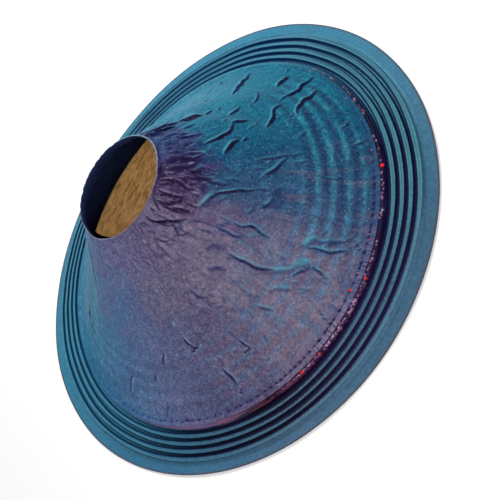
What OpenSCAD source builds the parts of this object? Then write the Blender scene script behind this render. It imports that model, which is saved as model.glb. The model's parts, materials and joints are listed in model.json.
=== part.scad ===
// Loudspeaker cone: a pressed paper cone cemented to a pleated cloth surround.
// It lies front down on the surround's lip, as it is stored before a voice coil is fitted.
// Origin: centre of the lip's front face. +Z: the axis of the cone, towards the neck.

/* [Cloth surround] */
// Outside diameter of the mounting lip
outer_d = 380; // [340:1:460]
// Flat width of the lip, from its outer edge to the foot of the first pleat
lip_w = 8.7; // [5:0.1:16]
// Thickness of the doped cloth
cloth_t = 0.8; // [0.5:0.1:1.2]
// Bend radius of the pleats, at the middle of the cloth
pleat_r = 1.5; // [1.2:0.1:2.2]
// Number of pleats that stand up between the lip and the cone
pleat_count = 4; // [2:1:6]
// Straight rise of the cloth from the lip to the first pleat
first_rise = 1; // [0.2:0.1:3]
// Climb from each pleat to the next one inward
pleat_climb = 0.4; // [0.1:0.1:1]
// Bend radius where the last groove turns over into the glue land, at the middle of the cloth
land_bend_r = 0.9; // [0.7:0.1:1.5]
// Width of the flat land that the cone is cemented to
land_w = 8; // [6:0.1:12]

/* [Paper cone] */
// Height of the neck's rim above the lip's front face
cone_h = 104; // [80:1:130]
// Thickness of the pressed paper
paper_t = 1; // [0.6:0.1:1.6]
// Bore of the neck, for the former of a voice coil
neck_bore_d = 77.5; // [50:0.5:102]
// Length of the straight collar on the outside of the neck
neck_len = 3; // [1:0.5:8]
// Radial width of the steep throat below the collar
throat_w = 20; // [10:1:30]
// Slope of the throat, up from the plane of the lip
throat_deg = 47; // [42:1:55]
// How far the wall between throat and flange sags below a straight line
wall_sag = 2.2; // [0:0.1:6]
// Width of the flat flange at the edge of the cone
flange_w = 5.4; // [3:0.1:8]

/* [Ribs in the cone] */
// Number of concentric ribs pressed into the wall
rib_count = 4; // [2:1:6]
// Distance from one rib to the next
rib_pitch = 8.5; // [6:0.5:10]
// Rise of a rib's crest, along the axis
rib_h = 0.7; // [0.3:0.1:1.5]
// Plain stretch between the outermost rib and the flange
rib_margin = 6.6; // [3:0.1:12]

/* [Cement] */
// Thickness of the cement film between the flange and the land
film_t = 0.3; // [0.1:0.1:0.6]
// Width of the cement bead along the edge of the flange
bead_w = 1.9; // [1:0.1:3]
// Height of the cement bead above the land
bead_h = 1.2; // [0.6:0.1:2]

/* [Hidden] */
$fn = 96;

// Surround: from one pleat to the next there are four bend radii, two for the ridge and two for the groove
pleat_pitch = 4 * pleat_r;
lip_in_r = outer_d / 2 - lip_w;
lip_bend_z = cloth_t / 2 + pleat_r;
land_out_r = lip_in_r - pleat_count * pleat_pitch - pleat_r - land_bend_r;
land_in_r = land_out_r - land_w;
land_mid_z = ridge_z(pleat_count - 1) + land_bend_r;
land_top_z = land_mid_z + cloth_t / 2;
// Steps in a half turn of the cloth
turn_steps = 12;

// Cone: its flange lies on the cement film, inside the bead
edge_r = land_out_r - bead_w;
bend_r = edge_r - flange_w;
flange_z = land_top_z + film_t + paper_t;
neck_out_r = neck_bore_d / 2 + paper_t;
collar_z = cone_h - neck_len;
throat_out_r = neck_out_r + throat_w;
throat_z = collar_z - throat_w * tan(throat_deg);
rib_end_r = bend_r - rib_margin;
rib_start_r = rib_end_r - rib_count * rib_pitch;

// Points along the rear face of the cone, in steps that follow the curve of each stretch
plain_steps = 10;
rib_steps = 10;
margin_steps = 2;
wall_radii = concat(
    [for (i = [0 : plain_steps - 1]) throat_out_r + (rib_start_r - throat_out_r) * i / plain_steps],
    [for (i = [0 : rib_count * rib_steps]) rib_start_r + rib_pitch * i / rib_steps],
    [for (i = [1 : margin_steps]) rib_end_r + rib_margin * i / margin_steps]
);
rear_face = concat(
    [[neck_out_r, cone_h], [neck_out_r, collar_z]],
    [for (r = wall_radii) [r, wall_z(r) + rib_rise(r)]],
    [[edge_r, flange_z]]
);
front_face = [for (i = [0 : len(rear_face) - 1]) rear_face[i] - inset(i)];

// Height of the bend centre of a ridge, counted inward from the lip
function ridge_z(i) = lip_bend_z + first_rise + i * pleat_climb;

// Radius of a ridge, and of the groove on its inner side
function ridge_r(i) = lip_in_r - 2 * pleat_r - i * pleat_pitch;
function groove_r(i) = ridge_r(i) - 2 * pleat_r;

// Rear face of the wall without its ribs: a shallow parabola from throat to flange
function wall_z(r) =
    let (t = (r - throat_out_r) / (bend_r - throat_out_r))
    throat_z + (flange_z - throat_z) * t - 4 * wall_sag * t * (1 - t);

// The ribs are raised cosines, which leave the wall and meet it again without a corner
function rib_rise(r) =
    r > rib_start_r && r < rib_end_r ? rib_h * (1 - cos(360 * (r - rib_start_r) / rib_pitch)) / 2 : 0;

// Unit normal of a stretch of the rear face, pointing out of the paper
function stretch_normal(i) =
    let (d = rear_face[i + 1] - rear_face[i])
    [-d.y, d.x] / norm(d);

// Mitred offset from a point of the rear face to the front face, one paper thickness away
function inset(i) =
    let (last = len(rear_face) - 2)
    let (a = stretch_normal(max(i - 1, 0)))
    let (b = stretch_normal(min(i, last)))
    paper_t * (a + b) / (1 + a * b);

// The middle line of the cloth around a bend: each point with the unit normal of the cloth's rear side.
// side is 1 where the rear is the outside of the bend and -1 where it is the inside; first is 1 to leave out a point shared with the bend before.
function turn(centre, bend_r, from_deg, to_deg, side, first = 0) =
    let (n = round(turn_steps * abs(to_deg - from_deg) / 180))
    [for (i = [first : n])
        let (a = from_deg + (to_deg - from_deg) * i / n)
        [centre + bend_r * [cos(a), sin(a)], side * [cos(a), sin(a)]]];

module surround_profile() {
    line = concat(
        // Flat lip and the quarter turn at its foot
        [[[outer_d / 2, cloth_t / 2], [0, 1]]],
        turn([lip_in_r, lip_bend_z], pleat_r, -90, -180, -1),
        // Each pleat is a ridge and the groove on its inner side
        [for (i = [0 : pleat_count - 1]) each concat(
            turn([ridge_r(i), ridge_z(i)], pleat_r, 0, 180, 1),
            turn([groove_r(i), ridge_z(i)], pleat_r, 0, -180, -1, 1)
        )],
        // Turn over into the flat glue land
        turn([land_out_r, land_mid_z - land_bend_r], land_bend_r, 0, 90, 1, 1),
        [[[land_in_r, land_mid_z], [0, 1]]]
    );
    last = len(line) - 1;
    polygon(concat(
        [for (p = line) p[0] + p[1] * cloth_t / 2],
        [for (i = [last : -1 : 0]) line[i][0] - line[i][1] * cloth_t / 2]
    ));
}

module cloth_surround() {
    color("#4b84a0") rotate_extrude() surround_profile();
}

module paper_cone() {
    last = len(front_face) - 1;
    color("#5a6b8c")
    rotate_extrude()
    polygon(concat(rear_face, [for (i = [last : -1 : 0]) front_face[i]]));
}

module edge_cement_film() {
    film_in_r = max(bend_r, land_in_r);
    color("#3a2a3c")
    rotate_extrude() translate([film_in_r, land_top_z]) square([edge_r - film_in_r, film_t]);
}

module edge_cement_bead() {
    bead_steps = 8;
    color("#5c2038")
    rotate_extrude()
    translate([edge_r, land_top_z])
    polygon(concat([[0, 0]], [for (i = [0 : bead_steps]) [
        bead_w * cos(90 * i / bead_steps), bead_h * sin(90 * i / bead_steps)
    ]]));
}

paper_cone();
cloth_surround();
edge_cement_film();
edge_cement_bead();
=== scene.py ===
"""Looks of a loudspeaker cone: crumpled, dyed paper cemented to a pleated surround of doped cloth.

It lies front down on its lip, as such a part does before a voice coil is fitted.
Lengths are in millimetres until a mesh is made, and colours are written as 0 to 255.
A bearing is in degrees, from +Y, the side away from the camera, towards -X.
"""

import json
import math

import bpy
import numpy as np
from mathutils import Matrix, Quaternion, Vector


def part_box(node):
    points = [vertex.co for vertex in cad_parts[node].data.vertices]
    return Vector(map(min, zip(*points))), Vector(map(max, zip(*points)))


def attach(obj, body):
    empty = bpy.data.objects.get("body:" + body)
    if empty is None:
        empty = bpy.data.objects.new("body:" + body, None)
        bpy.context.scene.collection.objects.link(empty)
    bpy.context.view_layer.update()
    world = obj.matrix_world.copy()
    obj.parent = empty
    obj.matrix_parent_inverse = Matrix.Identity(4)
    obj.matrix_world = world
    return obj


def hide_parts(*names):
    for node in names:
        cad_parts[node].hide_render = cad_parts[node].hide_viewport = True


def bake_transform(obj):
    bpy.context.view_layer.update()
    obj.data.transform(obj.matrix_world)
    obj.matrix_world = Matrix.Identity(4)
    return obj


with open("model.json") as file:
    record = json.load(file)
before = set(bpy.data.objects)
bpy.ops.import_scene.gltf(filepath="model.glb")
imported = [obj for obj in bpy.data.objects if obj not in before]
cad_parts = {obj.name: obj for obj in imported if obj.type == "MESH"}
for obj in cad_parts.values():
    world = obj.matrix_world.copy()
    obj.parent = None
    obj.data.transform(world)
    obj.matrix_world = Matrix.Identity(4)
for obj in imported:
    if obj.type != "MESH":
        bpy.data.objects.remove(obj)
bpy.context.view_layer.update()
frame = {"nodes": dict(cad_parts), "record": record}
MM = 0.001


# Camera: it looks down on the rear of the cone from the near side, and it is rolled over,
# so that the axis of the cone points up to the left in the picture.
camera_place = Vector((-38.3, -412.0, 390.8))
camera_aim = Vector((-38.3, -85.2, 40.0))
camera_roll = -63.75
camera_lens = 50.4
camera_shift = (0.04, 0.10)


def add_object(name, data):
    """A new object in the scene."""
    made = bpy.data.objects.new(name, data)
    bpy.context.scene.collection.objects.link(made)
    return made


camera = add_object("camera", bpy.data.cameras.new("camera"))
camera.data.sensor_width = 36
camera.data.lens = camera_lens
camera.data.shift_x, camera.data.shift_y = camera_shift
camera.data.clip_start, camera.data.clip_end = 0.01, 20
camera.rotation_mode = "QUATERNION"
camera.location = camera_place * MM
camera.rotation_quaternion = (camera_aim - camera_place).to_track_quat("-Z", "Y") @ Quaternion(
    (0, 0, 1), math.radians(camera_roll)
)
bpy.context.scene.camera = camera
bpy.context.scene.view_settings.view_transform = "Standard"


# Stage: a pale floor with a shallow round recess that leaves the cone room to move. In it lie a dark sheet,
# which is painted shade for the unlit ground under the cone, and a round of kraft paper, seen only through
# the neck, which glows as painted light. A large soft lamp stands high on the +X side, and a smaller one
# beside the camera.
floor_reach, floor_drop = 4000, 0.4
recess_radius = 177
shade_sheet_radius, shade_sheet_drop = 260, 5.4
kraft_radius, kraft_centre = 54, (16.8, 147, -5.2)
floor_colour, shade_sheet_colour, kraft_colour = (240, 240, 240), (12, 10, 14), (124, 92, 52)
air_strength = 0.42
lamp_aim = Vector((0, 0, 40))


def dye(red, green, blue):
    """A colour written as 0 to 255 turned into the linear colour that a shader takes."""
    c = np.array([red, green, blue]) / 255
    linear = np.where(c > 0.04045, ((c + 0.055) / 1.055) ** 2.4, c / 12.92)
    return (*linear, 1.0)


def put(tree, kind, feeds=None, **settings):
    """Adds one shader node. Settings are its properties, and feeds gives a socket its value or its source."""
    made = tree.nodes.new("ShaderNode" + kind)
    for name, value in settings.items():
        setattr(made, name, value)
    for socket, value in (feeds or {}).items():
        if isinstance(value, bpy.types.NodeSocket):
            tree.links.new(value, made.inputs[socket])
        else:
            made.inputs[socket].default_value = value
    return made


def new_material(name):
    """A material with an empty node tree."""
    material = bpy.data.materials.new(name)
    material.use_nodes = True
    material.node_tree.nodes.clear()
    return material


def calc(operation, a, b=0.0, c=0.0, clamp=False):
    """The output of one Math node, in the tree that its values come from."""
    tree = next(value.id_data for value in (a, b, c) if isinstance(value, bpy.types.NodeSocket))
    return put(tree, "Math", {0: a, 1: b, 2: c}, operation=operation, use_clamp=clamp).outputs[0]


def scaled(value, factor, added, clamp=False):
    """A value times a factor, with another value added."""
    return calc("MULTIPLY_ADD", value, factor, added, clamp)


def times(*values):
    """The product of node outputs and numbers."""
    product = values[0]
    for value in values[1:]:
        product = calc("MULTIPLY", product, value)
    return product


def noise(place, scale, detail=3.0, rough=0.55):
    """The grey output of a noise at a scale of so many cells to the metre."""
    feeds = {"Vector": place, "Scale": scale, "Detail": detail, "Roughness": rough}
    return put(place.id_data, "TexNoise", feeds).outputs["Fac"]


def ramp(share, stops):
    """The colour of a ramp whose stops are (place, colour) pairs."""
    made = put(share.id_data, "ValToRGB", {"Fac": share})
    elements = made.color_ramp.elements
    while len(elements) < len(stops):
        elements.new(0.5)
    for element, (place, colour) in zip(elements, stops):
        element.position, element.color = place, colour
    return made.outputs["Color"]


def slope(value, start, full):
    """A mask that goes smoothly from 0 at start to 1 at full."""
    feeds = {0: value, 1: start, 2: full}
    return put(value.id_data, "MapRange", feeds, interpolation_type="SMOOTHSTEP").outputs[0]


def seen_directly(tree):
    """1 on rays that show a background as it is, from the camera, in a gloss or through glass, and else 0."""
    path = put(tree, "LightPath").outputs
    first = calc("MAXIMUM", path["Is Camera Ray"], path["Is Glossy Ray"])
    return calc("MAXIMUM", first, path["Is Transmission Ray"])


def plain_sheet(name, rim, colour, fibre, glow, far_glow=0.0, hole=None):
    """A flat stage piece through the points of its rim, or from there to as many points round a hole.

    Fibre is how far its tone varies. Glow lifts it where it is seen. The far glow is added away from the
    middle, so that a floor runs into the white background without an edge.
    """
    mesh = bpy.data.meshes.new(name)
    here = np.arange(len(rim))
    ahead = np.roll(here, -1)
    faces = here[None] if hole is None else np.stack([here, ahead, ahead + len(rim), here + len(rim)], 1)
    mesh.from_pydata(rim if hole is None else np.concatenate([rim, hole]), [], faces.tolist())
    material = new_material(name)
    tree = material.node_tree
    place = put(tree, "TexCoord").outputs["Object"]
    drawing = {"Vector": place, "Rotation": (0.0, 0.0, 0.52), "Scale": (1.0, 2.2, 1.0)}
    fibres = noise(put(tree, "Mapping", drawing).outputs[0], 120.0, 5.0, 0.75)
    dark, pale = (
        dye(*[c * (1 + change * share) for c, share in zip(colour, (1.0, 1.05, 1.6))])
        for change in (-fibre, fibre)
    )
    tone = ramp(fibres, [(0.3, dark), (0.7, pale)])
    matte = put(tree, "BsdfDiffuse", {"Color": tone})
    away = put(tree, "VectorMath", {0: place}, operation="LENGTH").outputs["Value"]
    lift = scaled(slope(away, 0.25, 1.1), far_glow, glow)
    shine = put(tree, "Emission", {"Color": tone, "Strength": times(seen_directly(tree), lift)})
    both = put(tree, "AddShader", {0: matte.outputs[0], 1: shine.outputs[0]})
    put(tree, "OutputMaterial", {"Surface": both.outputs[0]})
    mesh.materials.append(material)
    sheet = add_object(name, mesh)


disc_turn = np.radians(np.arange(0, 360, 5))
disc = np.stack([np.cos(disc_turn), np.sin(disc_turn), 0 * disc_turn], 1)
floor_rim, recess_rim = ((disc * r - (0, 0, floor_drop)) * MM for r in (floor_reach, recess_radius))
plain_sheet("floor", floor_rim, floor_colour, fibre=0.01, glow=0.16, far_glow=0.7, hole=recess_rim)
# The dark sheet is painted shade: it stands for the ground under the cone, where no light falls
plain_sheet("dark_sheet", (disc * shade_sheet_radius - (0, 0, shade_sheet_drop)) * MM, shade_sheet_colour, fibre=0.2, glow=0.0)
# The kraft round glows where it is seen: painted light, as little lamp light reaches it under the cone
plain_sheet("kraft_sheet", (disc * kraft_radius + kraft_centre) * MM, kraft_colour, fibre=0.34, glow=0.85)

world = bpy.data.worlds.new("studio")
bpy.context.scene.world = world
world.use_nodes = True
tree = world.node_tree
tree.nodes.clear()
air_light = calc("MAXIMUM", seen_directly(tree), air_strength)
air = put(tree, "Background", {"Color": (1, 1, 1, 1), "Strength": air_light})
put(tree, "OutputWorld", {"Surface": air.outputs[0]})

for lamp_name, lamp_place, lamp_size, lamp_watts in (
    ("high_lamp", (360, 420, 700), 0.4, 5.2),
    ("near_lamp", (-110, -560, 560), 0.28, 2.2),
):
    lamp = add_object(lamp_name, bpy.data.lights.new(lamp_name, "AREA"))
    lamp.data.shape = "DISK"
    lamp.data.size, lamp.data.energy = lamp_size, lamp_watts
    lamp.location = Vector(lamp_place) * MM
    lamp.rotation_mode = "QUATERNION"
    lamp.rotation_quaternion = (lamp_aim - Vector(lamp_place)).to_track_quat("-Z", "Y")


# Paper cone: one sheet of pulp pressed to a cone, with a short collar at the neck, a steep throat, four
# shallow ribs and a flat flange. It is dyed dark, coated, and has crumpled as it dried.
cone_low, cone_high = (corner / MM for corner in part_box("paper_cone"))
paper_t = 1.0
neck_bore_r = next(m["dims"]["r_mm"] for m in frame["record"]["mounts"] if m["name"] == "neck_bore")
neck_r, neck_z = neck_bore_r + paper_t, cone_high.z
edge_r, flange_z = cone_high.x, cone_low.z + paper_t
collar_h, throat_w, throat_angle, flange_w = 3, 20, 47, 5.4
bend_r = edge_r - flange_w
collar_z = neck_z - collar_h
throat_r = neck_r + throat_w
throat_z = collar_z - throat_w * math.tan(math.radians(throat_angle))
wall_sag = 2.2
rib_count, rib_pitch, rib_h, rib_gap = 4, 8.5, 0.7, 6.6
rib_end_r = bend_r - rib_gap
rib_start_r = rib_end_r - rib_count * rib_pitch
edge_round = 0.3
cone_steps = 700


def rear_height(r):
    """Height of the rear face: a straight throat, a parabola with raised-cosine ribs, and a flat flange."""
    t = (r - throat_r) / (bend_r - throat_r)
    wall = throat_z + (flange_z - throat_z) * t - 4 * wall_sag * t * (1 - t)
    in_ribs = (r > rib_start_r) & (r < rib_end_r)
    ribs = np.where(in_ribs, rib_h * (1 - np.cos(2 * np.pi * (r - rib_start_r) / rib_pitch)) / 2, 0)
    throat = collar_z + (throat_z - collar_z) * (r - neck_r) / (throat_r - neck_r)
    return np.where(r < throat_r, throat, np.where(r > bend_r, flange_z, wall + ribs))


def stretch(start, end, count):
    """Evenly spaced values from start up to, but without, the end."""
    return np.linspace(start, end, count, endpoint=False)


row_r = np.concatenate([
    np.full(3, neck_r),
    stretch(neck_r, throat_r, 26),
    stretch(throat_r, rib_start_r, 54),
    stretch(rib_start_r, rib_end_r, 28),
    stretch(rib_end_r, bend_r, 4),
    stretch(bend_r, edge_r - edge_round, 6),
    [edge_r - edge_round, edge_r],
])
row_z = rear_height(row_r)
row_z[:3] = neck_z, neck_z - 0.25, neck_z - 1.4
row_along = np.stack([np.gradient(row_r), np.gradient(row_z)], 1)
row_slant = np.concatenate([[0], np.cumsum(np.hypot(np.diff(row_r), np.diff(row_z)))])
row_out = np.stack([-row_along[:, 1], row_along[:, 0]], 1) / np.hypot(*row_along.T)[:, None]
cone_bearing = stretch(0, 360, cone_steps)

# fold_shade is painted shade on the steep sides of folds, and fold_light a painted highlight on their crests
fold_rise = np.zeros((len(row_r), cone_steps))
fold_shade, fold_light = np.zeros_like(fold_rise), np.zeros_like(fold_rise)


def smooth_line(points, cuts=5):
    """A curve through the points: a Catmull-Rom cubic over each pair, shaped by the points beside it."""
    p = np.concatenate([[2 * points[0] - points[1]], points, [2 * points[-1] - points[-2]]])
    t = stretch(0, 1, cuts)[None, :, None]
    a, b, c, d = (p[k : len(p) - 3 + k, None] for k in range(4))
    curve = 0.5 * (2 * b + (c - a) * t + (2 * a - 5 * b + 4 * c - d) * t**2 + (3 * b - a - 3 * c + d) * t**3)
    return np.concatenate([curve.reshape(-1, 2), points[-1:]])


def bell(off, half, power=2):
    """A bell curve: 1 in the middle and 0 well away from it, with a flatter top at a higher power."""
    return np.exp(-((off / half) ** power))


def rise(value, start, full):
    """0 at start and 1 at full, with a straight line between. Full may be the lower of the two."""
    return np.clip((value - start) / (full - start), 0, 1)


def way_round(bearing, middle):
    """How far a bearing lies from a middle one, from -180 to 180."""
    return (bearing - middle + 180) % 360 - 180


def lay_fold(path, height, width, shade=1.0, glint=1.0, lit=1):
    """Raises one fold in the paper along a path of (bearing, radius) points.

    The rise is a bell curve of the distance from the line, long on the lit side and short on the steep side,
    with a shallow trough at the steep side's foot. It swells and dies away along the line as a root of a half
    sine, and the line wavers a little. The steep side is marked as shade, and the crest as light that fades
    along the fold. On a path that runs outward the lit side is that of growing bearing, and a lit of -1 turns
    it over.
    """
    path = np.array(path, float)
    middle_b, middle_r = path[:, 0].mean(), path[:, 1].mean()
    line = smooth_line(np.stack([
        np.radians(path[:, 0] - middle_b) * middle_r, np.interp(path[:, 1], row_r[2:], row_slant[2:])
    ], 1))
    across = np.radians(way_round(cone_bearing, middle_b)) * middle_r
    reach = 6 * width
    rows = np.flatnonzero((row_slant > line[:, 1].min() - reach) & (row_slant < line[:, 1].max() + reach))
    columns = np.flatnonzero((across > line[:, 0].min() - reach) & (across < line[:, 0].max() + reach))
    here = np.stack(np.meshgrid(across[columns], row_slant[rows]), -1)[:, :, None]
    start, span = line[:-1], np.diff(line, axis=0)
    length = np.hypot(*span.T)
    share = np.clip(((here - start) * span).sum(-1) / length**2, 0, 1)
    off = here - start - share[..., None] * span
    gap = np.hypot(off[..., 0], off[..., 1])
    nearest = gap.argmin(-1)[..., None]
    side = np.sign(span[:, 1] * (here - start)[..., 0] - span[:, 0] * (here - start)[..., 1])
    u = lit * np.take_along_axis(side * gap, nearest, -1)[..., 0]
    run = (np.concatenate([[0], np.cumsum(length)[:-1]]) + share * length) / length.sum()
    run = np.take_along_axis(run, nearest, -1)[..., 0]
    swell = np.sin(np.pi * run).clip(0) ** 0.6
    stride = run * length.sum()
    u = u + 0.25 * width * np.sin(stride / 2.3 + middle_b)
    w = width * (0.4 + 0.6 * swell)
    crest = np.where(u > 0, bell(u, 2.4 * w), bell(u, 0.6 * w))
    trough = bell(u + 1.5 * w, 0.7 * w)
    patch = np.ix_(rows, columns)
    fold_rise[patch] += height * swell * (crest - 0.3 * trough)
    dark = shade * swell**0.5 * bell(u + 0.75 * w, 0.85 * w, 4)
    fold_shade[patch] = np.maximum(fold_shade[patch], dark)
    bright = glint * shade * swell**0.4 * (1 - 0.6 * run) * bell(u - 0.6 * w, 0.75 * w)
    fold_light[patch] = np.maximum(fold_light[patch], bright)


# Each fold has its path, height and width, and some have their shade, glint and lit side too
for fold in (
    # Down the throat
    ([(161.5, 40), (162.5, 44), (166, 47.5), (170, 50), (174, 54), (178, 57.5)], 0.9, 1.2),
    ([(160.5, 46.5), (164.5, 48.3), (167, 51.3), (172.5, 54)], 0.4, 0.9, 0.6),
    ([(154, 50.5), (155, 53), (159.5, 56.5)], 0.4, 0.9, 0.7),
    ([(147, 55.5), (149.5, 53), (152, 52.5)], 0.3, 0.9, 0.5),
    ([(164, 56.7), (167, 58.6), (173, 61.5)], 0.5, 1.0, 0.6),
    ([(180.5, 49), (182.7, 53), (182.6, 58)], 0.7, 1.4, 0.9),
    ([(190.5, 40.3), (189, 44), (190, 47.5), (192, 52.5)], 0.7, 1.3, 0.9),
    ([(180, 40.5), (181.5, 45.5), (183.3, 50)], 0.5, 0.9, 0.8),
    ([(200.5, 40.3), (203, 44), (203, 47.5), (200, 52), (196.5, 55.5)], 0.7, 1.3, 0.9),
    ([(208.3, 50), (207.5, 56), (207.8, 60), (205.5, 67), (206, 71)], 0.6, 1.2, 0.7, 0.5),
    ([(219, 41), (224, 45), (225.5, 50), (222.5, 57)], 0.8, 1.9, 0.9, 0.7),
    ([(212.5, 43), (216.5, 48), (217, 52), (220, 57.5)], 0.6, 1.4, 0.8, 0.3),
    ([(222, 53), (226, 56), (229, 60)], 0.5, 1.2, 0.7),
    ([(243, 40.5), (241, 43.5), (238, 47), (236, 52)], 0.5, 1.0, 0.7),
    ([(232, 41), (231, 46), (233, 52)], 0.4, 1.0, 0.6),
    ([(250.5, 50), (249, 58), (247.5, 65)], 0.5, 1.2, 0.8),
    ([(256, 42), (257.5, 48), (258, 55)], 0.5, 1.2, 0.7),
    ([(262.8, 57.5), (262.4, 66)], 0.5, 1.2, 0.8),
    ([(267, 40.5), (268.5, 45), (268, 51)], 0.9, 1.7, 0.8),
    ([(275, 40.3), (272.5, 43), (272.3, 47), (271.8, 52), (270.5, 58)], 1.3, 1.3, 1.4, 2.4),
    ([(281.5, 43), (280, 52), (278, 57), (276.5, 65)], 1.2, 2.0),
    ([(277.5, 64), (275, 69), (275, 74), (272.5, 78)], 1.9, 4.2, 1.2),
    ([(271.8, 78), (271.3, 84.5)], 0.7, 1.6, 0.9),
    ([(280, 41), (274, 41.6), (269.4, 42.2), (268, 44.5)], 0.6, 1.8, 1.0, 0.8),
    ([(278, 46.3), (271.3, 47.1), (269.7, 50.4)], 0.4, 1.4, 0.4, 2.6),
    ([(133.5, 53.5), (136, 57), (134.5, 60)], 0.4, 0.9, 0.6),
    ([(176.3, 64), (177.4, 69), (177.2, 73)], 0.4, 1.3, 0.5),
    ([(157, 64.5), (158, 70)], 0.3, 1.2, 0.4),
    # On the near side
    (
        [(187, 60), (191, 61.5), (195.7, 63.7), (199.5, 67), (201.5, 71), (204, 78), (206, 88)],
        1.1, 0.85, 0.85,
    ),
    ([(187, 59.6), (191, 61), (195.7, 63.2), (199.5, 66.5)], 0.8, 2.0, 0.3, 3.0),
    ([(182, 69), (181.5, 76), (181.5, 82), (183.5, 86)], 0.6, 1.2, 0.7),
    ([(187, 78), (186.5, 82), (188.5, 88), (187, 94), (186, 99)], 0.7, 1.1, 0.8),
    ([(197, 88), (199.5, 92), (203, 95)], 0.7, 1.3, 0.6),
    ([(172.8, 82), (173.4, 92), (174.4, 101), (176.5, 108)], 1.0, 1.4, 0.75),
    (
        [(184, 121.5), (182, 118.3), (179.4, 114.8), (176.6, 110), (174.2, 101.5), (173.2, 90)],
        0.4, 1.8, 0.3, 3.0, -1,
    ),
    ([(184, 122.5), (181.6, 118.6), (178.8, 114.5)], 0.4, 3.0, 0.25, 4.2, -1),
    ([(177, 117), (180, 120), (182.5, 124)], 0.5, 1.0, 0.8),
    ([(183, 122), (182.5, 127), (181, 135)], 0.5, 1.0, 0.8),
    ([(161, 78), (164.5, 82), (166, 87)], 0.6, 2.2, 0.5, 0.5),
    ([(147, 80), (149, 86), (151, 89)], 0.5, 1.5, 0.6),
    ([(150, 89.5), (148.5, 92), (149, 96)], 0.4, 0.9, 0.6, 1.0, -1),
    ([(168, 71.5), (172, 74), (174.5, 80)], 0.6, 2.0, 0.5, 0.5),
    ([(149.3, 116), (150, 120), (150.5, 124)], 0.6, 1.0, 0.9, 1.4),
    ([(145, 119), (147.6, 121.2)], 0.2, 1.5, 0.2, 4.5),
    ([(135.4, 121.8), (137.3, 124.2)], 0.2, 1.4, 0.2, 4.5),
    ([(147, 124.5), (149.5, 123), (151.5, 125)], 0.4, 0.9, 0.8),
    ([(162.2, 110), (163.5, 114), (164.5, 119)], 0.5, 1.4, 0.5, 1.8),
    ([(170, 111.5), (172, 116), (174, 120.5)], 0.6, 1.7, 0.4, 2.4),
    ([(187.8, 117), (188.4, 122), (188.8, 130), (190.9, 140)], 0.7, 1.2, 0.8),
    ([(188, 115.5), (190, 119), (192, 122.2)], 0.5, 2.2, 0.3, 3.2),
    ([(190.5, 118), (191.5, 128), (193.5, 137), (195.5, 141)], 0.6, 1.3, 0.5),
    ([(194.5, 141.5), (192.5, 143.5), (191.5, 147)], 0.4, 0.9, 0.8),
    ([(172.7, 138), (171.5, 143), (171, 147)], 0.4, 0.9, 0.7),
    ([(166, 139.5), (169, 138)], 0.3, 0.9, 0.5),
    ([(211, 87), (214, 91), (218, 97), (222, 102)], 0.9, 1.4, 0.7),
    ([(220.5, 84), (221.5, 90), (222, 98), (222.5, 107)], 0.6, 1.1, 0.7, 0.4),
    ([(219, 104), (219, 114)], 0.4, 1.2, 0.5),
    # On the side that faces the high lamp
    ([(225.5, 69.5), (229, 71), (232.5, 74), (236, 79.5)], 1.3, 1.7),
    ([(234, 80.5), (236, 84.5)], 0.5, 1.2, 0.9),
    ([(236.5, 60.5), (238.5, 65), (240.5, 71), (243, 76), (246, 79.5), (250, 83)], 1.2, 1.4),
    ([(249.5, 81), (249.5, 85), (248.5, 91)], 0.8, 1.9, 0.9),
    ([(258.5, 85), (260.5, 90), (262, 96)], 0.7, 1.5, 0.9),
    ([(240, 96), (243.5, 101.5), (247, 105), (249.5, 108), (250.5, 114)], 1.3, 1.5),
    ([(241, 116), (244.5, 119), (247.5, 124.5), (249.5, 132), (251.5, 141)], 1.4, 1.6),
    ([(252.5, 114), (254, 120), (255, 129), (257, 136), (259, 149)], 1.3, 1.5),
    ([(263.5, 125), (264.7, 130), (266.5, 140)], 1.3, 1.9),
    ([(258.3, 102), (261, 107.5), (265, 113)], 0.8, 1.2, 0.9),
    ([(275, 105), (278.5, 114), (281.5, 126), (284, 142)], 1.3, 1.8),
    ([(268.5, 86), (270.5, 89)], 0.5, 1.2, 0.7),
    ([(286.8, 95.5), (287, 101.5)], 0.5, 1.3, 0.7),
    ([(293, 126), (294.5, 133), (296, 140)], 0.5, 1.4, 0.6),
    ([(298.5, 80.5), (295.7, 85)], 0.5, 1.3, 0.6),
    ([(269, 143), (271, 149)], 0.4, 1.2, 0.7),
    ([(231, 137), (233.3, 143)], 0.5, 1.1, 0.8),
    ([(223.5, 139), (225.5, 147)], 0.5, 1.1, 0.7),
    ([(232, 112), (234, 118)], 0.3, 1.2, 0.4),
    # On the left
    ([(130.3, 99), (131.2, 103), (132.3, 107.5)], 0.7, 1.3),
    ([(135.5, 108), (132.5, 109), (130, 110.5)], 0.5, 1.1),
    ([(118.2, 105), (117.3, 109), (116.3, 114)], 0.6, 1.2),
    ([(110.3, 119), (109, 124.5)], 0.5, 1.2),
    ([(98, 123), (96, 127.5), (95.5, 132), (94, 138)], 0.8, 1.5),
    ([(113.3, 137.5), (111.3, 142.5), (110, 147.5)], 0.5, 1.1, 0.8),
    ([(138.7, 124), (139.3, 130), (140, 137)], 0.5, 1.3),
    ([(138, 141.5), (140.3, 138.5)], 0.3, 1.0, 0.8),
    ([(60, 46), (63.5, 60), (67, 70), (69.5, 82)], 0.35, 2.2, 0.4, 0.5, -1),
    ([(57.2, 109), (57.8, 116.6), (59.3, 122)], 0.5, 2.8, 0.6, 0.3, -1),
    ([(62.5, 117), (63.4, 120.3), (65.3, 125)], 0.4, 2.0, 0.5, 0.4, -1),
):
    lay_fold(*fold)
# Short pale scratches on the left
for scratch in (
    [(107.2, 59.8), (106.3, 64)],
    [(143, 47.3), (143.5, 49.5)],
    [(147.2, 64.6), (146.7, 67.2)],
    [(128.5, 71), (129.7, 73)],
    [(129, 89.6), (128.3, 92.8)],
):
    lay_fold(scratch, 0.1, 1.3, 0.25, 6.0)

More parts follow.
